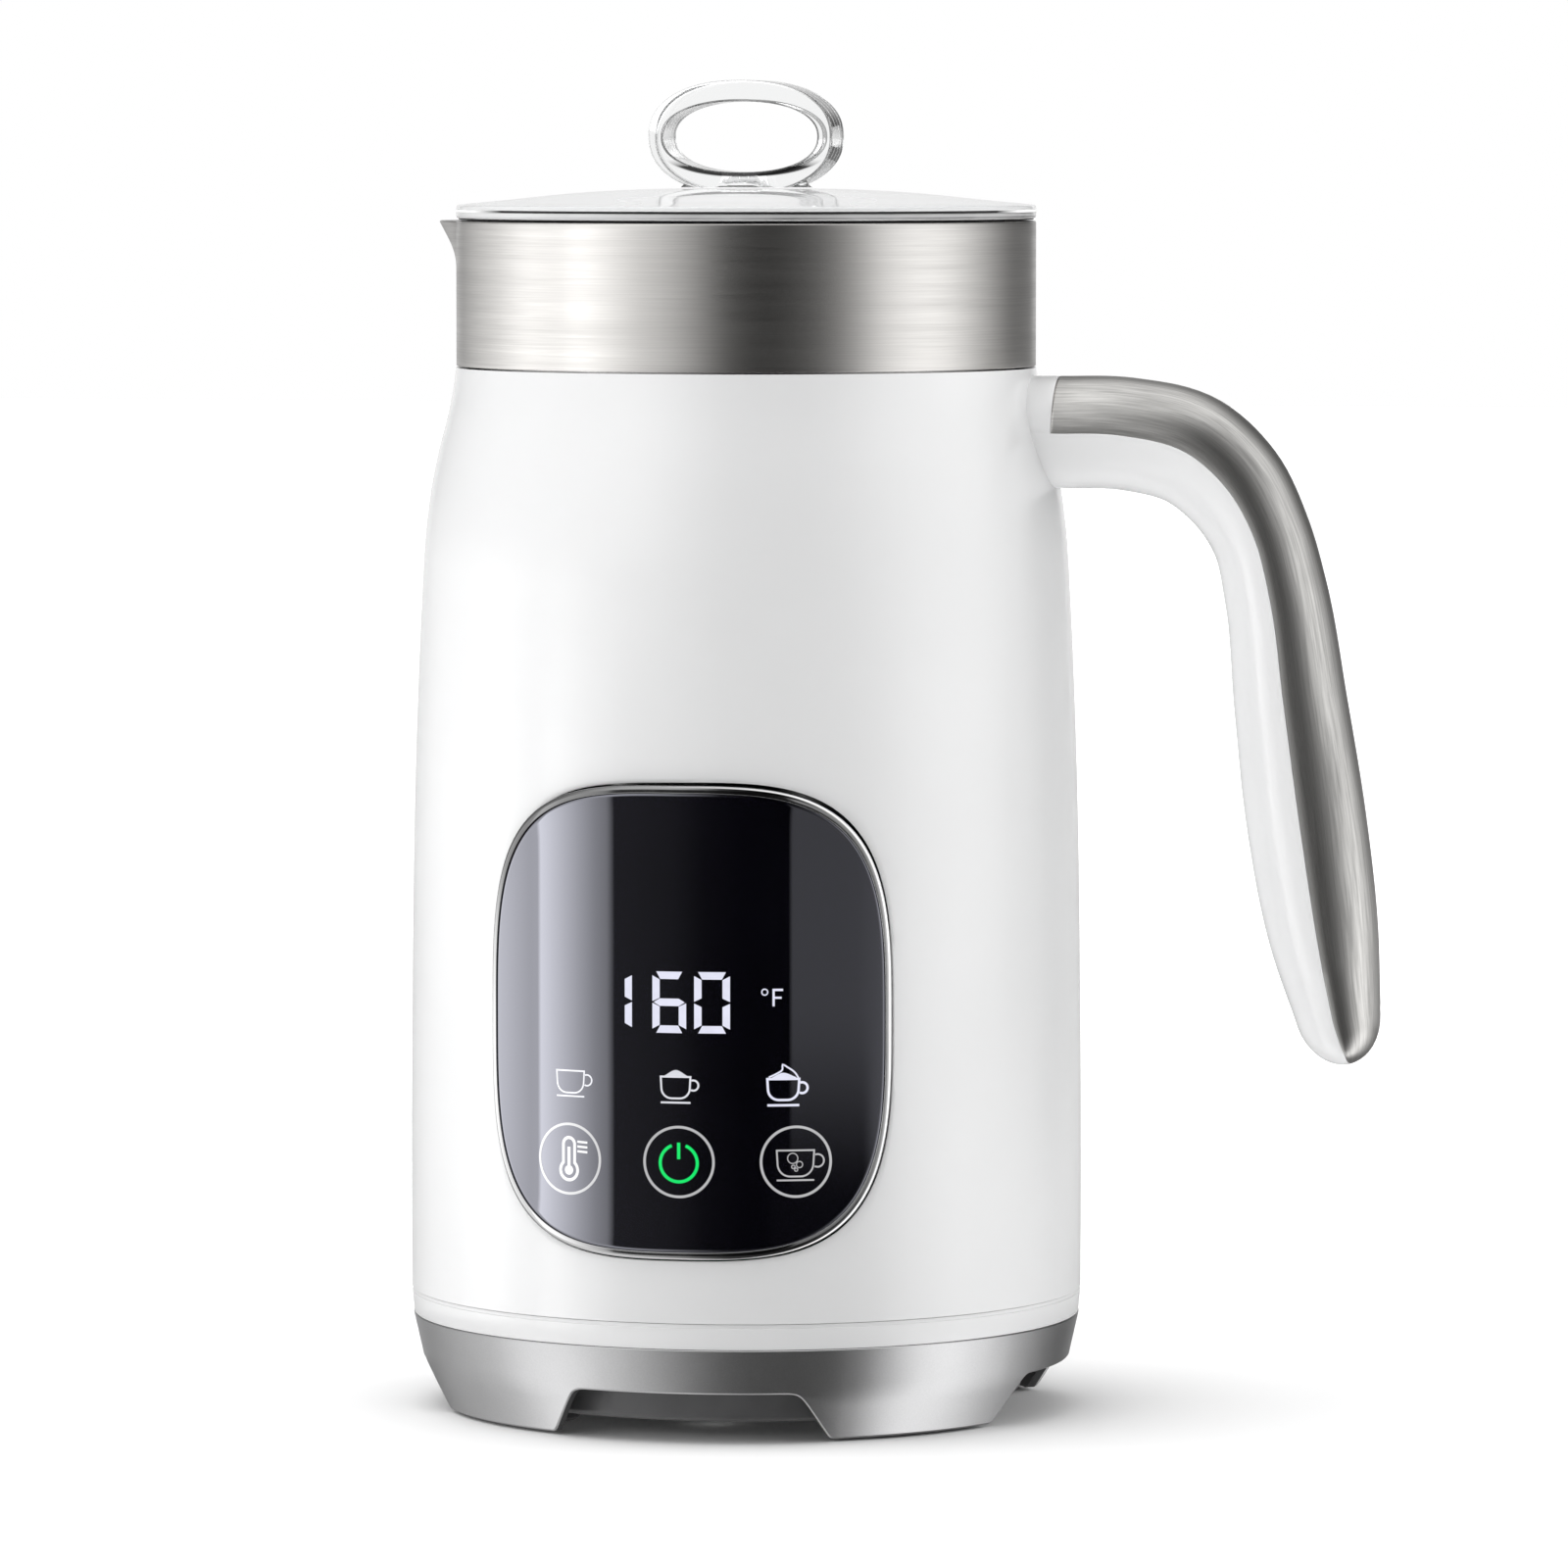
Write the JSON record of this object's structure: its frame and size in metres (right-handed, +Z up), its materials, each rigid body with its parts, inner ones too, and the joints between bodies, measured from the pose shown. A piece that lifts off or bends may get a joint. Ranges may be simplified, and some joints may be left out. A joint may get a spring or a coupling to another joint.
{
  "type": "milk frother",
  "caption": "Electric milk frother: white heated jug with steel mouth band, spout, hook handle, touch panel, clear lid with loop knob and magnetic whisk, on a power base.",
  "frame": {"origin": "on the surface that the base stands on, under the middle of the outline in X and at the jug's axis in Y", "axes": "+Z up; -Y is the side with the control panel; +X is the handle's side and -X the spout's; the jug's axis is vertical at X = -27.65 mm"},
  "size_m": [0.1766, 0.1227, 0.24],
  "materials": {
    "gloss_white": "glossy moulded white",
    "brushed_steel": "brushed round the band and along the handle",
    "steel": "plain satin steel",
    "silver_paint": "silver metallic satin paint on plastic",
    "chrome": "polished",
    "panel_glass": "glossy black glass",
    "clear_plastic": "clear, polished",
    "dark_plastic": "fine grained black",
    "grey_plastic": "satin grey",
    "rubber": "matt black",
    "silicone": "translucent grey silicone",
    "brass": "plain",
    "aluminium": "cast",
    "circuit_board": "solder mask",
    "display_light": "lit digits and icons",
    "key_light": "dimly lit key rings and symbols",
    "power_light": "lit green power symbol"
  },
  "bodies": {
    "power_base": {"base_skirt": "silver_paint", "base_deck": "dark_plastic", "base_pan": "dark_plastic", "base_coupler": "dark_plastic", "base_contact_inner": "brass", "base_contact_outer": "brass", "cord_outlet": "rubber", "rubber_foot_1": "rubber", "rubber_foot_2": "rubber", "rubber_foot_3": "rubber", "rubber_foot_4": "rubber", "base_screw_1": "steel", "base_screw_2": "steel", "base_screw_3": "steel"},
    "frother": {"rim_band": "brushed_steel", "jug_liner": "steel", "rim_seal": "silicone", "whisk_pin": "steel", "housing_shell": "gloss_white", "housing_ring": "gloss_white", "body_bottom": "dark_plastic", "body_coupler": "dark_plastic", "body_contact_pin": "brass", "body_contact_ring": "brass", "body_screw_1": "steel", "body_screw_2": "steel", "body_screw_3": "steel", "handle_core": "gloss_white", "handle_strip": "brushed_steel", "handle_screw_1": "steel", "handle_screw_2": "steel", "panel_bezel": "chrome", "panel_glass": "panel_glass", "display_board": "circuit_board", "digit_module": "display_light", "touch_spring_1": "steel", "touch_spring_2": "steel", "touch_spring_3": "steel", "heater_plate": "aluminium", "heater_element": "steel", "temperature_sensor": "brass", "thermal_fuse": "grey_plastic", "motor_can": "steel", "motor_bracket": "aluminium", "motor_screw_1": "steel", "motor_screw_2": "steel", "control_board": "circuit_board", "relay": "dark_plastic", "transformer": "dark_plastic"},
    "drive": {"motor_shaft": "steel", "magnet_carrier": "grey_plastic", "drive_magnet_1": "steel", "drive_magnet_2": "steel"},
    "whisk": {"whisk_hub": "grey_plastic", "whisk_coil": "steel", "whisk_magnet_1": "steel", "whisk_magnet_2": "steel"},
    "lid": {"lid_plate": "clear_plastic", "lid_knob": "clear_plastic", "lid_gasket": "silicone"}
  },
  "joints": [
    {"name": "frother_lift", "type": "slide", "parent": "power_base", "child": "frother", "axis": [0, 0, 1], "range_m": [0, 0.06]},
    {"name": "drive_spin", "type": "hinge", "parent": "frother", "child": "drive", "pos_m": [-0.02765, 0, 0.06], "axis": [0, 0, 1], "continuous": true},
    {"name": "whisk_lift", "type": "slide", "parent": "drive", "child": "whisk", "axis": [0, 0, 1], "range_m": [0, 0.105]},
    {"name": "lid_lift", "type": "slide", "parent": "frother", "child": "lid", "axis": [0, 0, 1], "range_m": [0, 0.05]}
  ]
}
